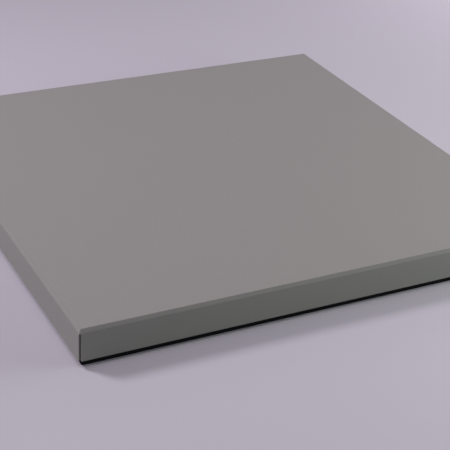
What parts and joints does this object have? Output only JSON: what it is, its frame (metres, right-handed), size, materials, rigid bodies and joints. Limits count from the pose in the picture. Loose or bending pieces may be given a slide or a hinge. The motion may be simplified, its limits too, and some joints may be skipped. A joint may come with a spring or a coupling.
{
  "type": "acoustic panel",
  "caption": "Square sound-absorbing panel: a fibre slab with bevelled face edges, wrapped in grey cloth with folded corners and hems, on a black backing board set in from its sides.",
  "frame": {"origin": "middle of the backing board's back face, where the panel rests", "axes": "+X along the front edge, +Y from the front edge to the back edge, +Z out of the cloth face"},
  "size_m": [0.6, 0.6, 0.0458],
  "materials": {
    "grey_cloth": "matt plain weave, stretched",
    "fibre_slab": "pressed glass wool with cut sides",
    "black_board": "matt black through-dyed fibreboard"
  },
  "bodies": {
    "root": {"facing_cloth": "grey_cloth", "absorber_core": "fibre_slab", "backing_board": "black_board"}
  },
  "joints": []
}
